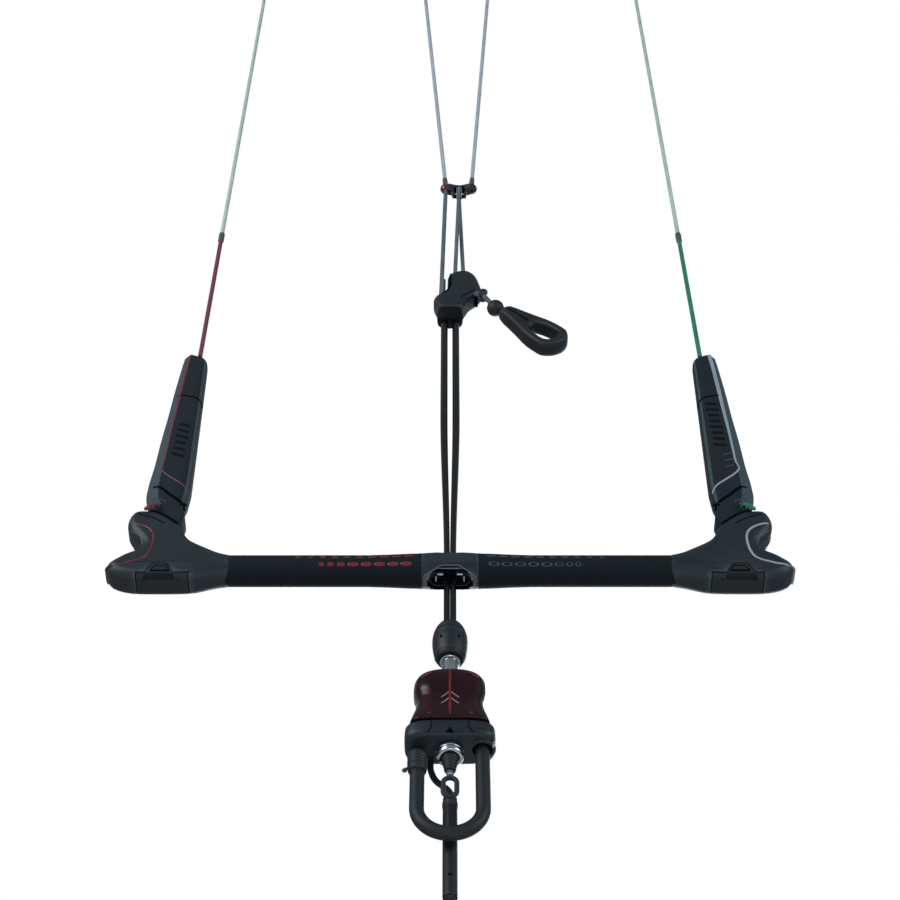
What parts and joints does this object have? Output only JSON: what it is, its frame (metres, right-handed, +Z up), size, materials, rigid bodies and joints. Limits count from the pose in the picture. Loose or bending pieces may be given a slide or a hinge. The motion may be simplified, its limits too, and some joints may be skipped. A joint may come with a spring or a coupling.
{
  "type": "kite control bar",
  "caption": "Four-line kite control bar with foam floats, a trim cleat above it, and a push-away quick release with harness loop below it.",
  "frame": {"origin": "level with the tops of the line end loops, straight above the bar's centre", "axes": "+Z up along the taut lines to the kite, +X along the bar to the rider's right hand, +Y away from the rider"},
  "size_m": [0.5184, 0.0474, 1.378],
  "materials": {
    "charcoal": "fine moulded texture",
    "float_foam": "smooth moulded foam",
    "grip_foam": "matt textured grip",
    "rubber": "satin",
    "tube_black": "glossy",
    "steel": "polished",
    "aluminium": "satin",
    "clear_red": "clear moulded plastic",
    "bead_red": "satin",
    "line_red": "braided",
    "line_green": "braided",
    "line_pale": "braided",
    "line_grey": "braided"
  },
  "bodies": {
    "lines": {"front_line_left": "line_grey", "front_line_right": "line_grey", "front_line_end_left": "line_grey", "front_line_end_right": "line_grey", "spreader": "rubber", "spreader_bead_left": "bead_red", "spreader_bead_right": "rubber", "sheave_axle": "steel"},
    "sheave": {"sheave": "steel"},
    "depower_unit": {"trim_line": "line_grey", "safety_line": "line_grey", "cleat_front": "charcoal", "cleat_back": "charcoal", "cleat_boot": "rubber", "depower_tube_left": "tube_black", "depower_tube_right": "tube_black", "stopper": "rubber", "swivel_tube": "steel"},
    "trim_swivel": {"trim_eye": "rubber", "trim_tail_cord": "line_grey"},
    "trim_pull": {"trim_bead": "rubber", "trim_handle": "charcoal"},
    "slider": {"slide_bush": "tube_black"},
    "bar": {"bar_tube": "aluminium", "grip_left": "grip_foam", "grip_right": "grip_foam", "hub_front": "charcoal", "hub_back": "charcoal", "hub_liner": "steel", "guide_pin_left": "steel", "guide_pin_right": "steel", "bar_end_left": "charcoal", "bar_end_right": "charcoal"},
    "insert_left": {"end_insert_left": "rubber"},
    "insert_right": {"end_insert_right": "rubber"},
    "float_left": {"float_left": "float_foam", "leader_knot_left": "line_red", "leader_left": "line_red", "steering_line_left": "line_pale", "steering_line_end_left": "line_pale"},
    "float_right": {"float_right": "float_foam", "leader_knot_right": "line_green", "leader_right": "line_green", "steering_line_right": "line_pale", "steering_line_end_right": "line_pale"},
    "release_unit": {"release_core": "steel", "return_spring": "steel", "release_housing": "charcoal", "swivel_nut": "steel", "boot_cone": "rubber", "leash_cord": "line_grey", "finger_strap": "rubber"},
    "release_handle": {"release_handle": "clear_red"},
    "chicken_loop": {"chicken_loop": "rubber"},
    "leash_ring": {"leash_ring": "rubber"},
    "finger": {"loop_finger": "rubber"}
  },
  "joints": [
    {"name": "trim_travel", "type": "slide", "parent": "lines", "child": "depower_unit", "axis": [0, 0, 1], "range_m": [0, 0.11], "deforming": ["trim_line", "safety_line"]},
    {"name": "sheave_turn", "type": "hinge", "parent": "lines", "child": "sheave", "pos_m": [0.009, 0, -0.494], "axis": [1, 0, 0], "continuous": true},
    {"name": "trim_swing", "type": "hinge", "parent": "depower_unit", "child": "trim_swivel", "pos_m": [0.0295, -0.013, -0.7005], "axis": [0, 1, 0], "range_deg": [-60, 45]},
    {"name": "trim_pull", "type": "slide", "parent": "trim_swivel", "child": "trim_pull", "axis": [0.269, -0.2306, -0.9351], "range_m": [0, 0.22], "deforming": ["trim_tail_cord"]},
    {"name": "bar_slide", "type": "slide", "parent": "depower_unit", "child": "slider", "axis": [0, 0, 1], "range_m": [-0.042, 0.28]},
    {"name": "bar_steer", "type": "hinge", "parent": "slider", "child": "bar", "pos_m": [0, 0, -1.07], "axis": [0, 1, 0], "range_deg": [-30, 30]},
    {"name": "insert_left_out", "type": "slide", "parent": "bar", "child": "insert_left", "axis": [0, 0, -1], "range_m": [0, 0.01]},
    {"name": "insert_right_out", "type": "slide", "parent": "bar", "child": "insert_right", "axis": [0, 0, -1], "range_m": [0, 0.01]},
    {"name": "float_left_tilt", "type": "hinge", "parent": "bar", "child": "float_left", "pos_m": [-0.2205, 0, -1.012], "axis": [0, 1, 0], "range_deg": [-30, 30]},
    {"name": "float_right_tilt", "type": "hinge", "parent": "bar", "child": "float_right", "pos_m": [0.2205, 0, -1.012], "axis": [0, 1, 0], "range_deg": [-30, 30]},
    {"name": "swivel_spin", "type": "hinge", "parent": "depower_unit", "child": "release_unit", "pos_m": [0, 0, -1.192], "axis": [0, 0, 1], "continuous": true},
    {"name": "release_push", "type": "slide", "parent": "release_unit", "child": "release_handle", "axis": [0, 0, 1], "range_m": [0, 0.015], "stiffness_N_per_m": 200, "springref_m": -0.012, "deforming": ["return_spring"]},
    {"name": "loop_open", "type": "hinge", "parent": "release_unit", "child": "chicken_loop", "pos_m": [-0.022, 0, -1.2655], "axis": [0, 1, 0], "range_deg": [0, 80]},
    {"name": "ring_swing", "type": "hinge", "parent": "release_unit", "child": "leash_ring", "pos_m": [0, -0.0085, -1.2905], "axis": [0, 1, 0], "range_deg": [-25, 25]},
    {"name": "finger_swing", "type": "hinge", "parent": "release_unit", "child": "finger", "pos_m": [0, 0.013, -1.2885], "axis": [0, 1, 0], "range_deg": [-12, 25]}
  ],
  "couplings": [
    {"joint": "trim_pull", "follows": "trim_travel", "ratio": 2},
    {"joint": "float_left_tilt", "follows": "bar_steer", "ratio": -1},
    {"joint": "float_right_tilt", "follows": "bar_steer", "ratio": -1},
    {"joint": "loop_open", "follows": "release_push", "rad_per_m": 93}
  ]
}
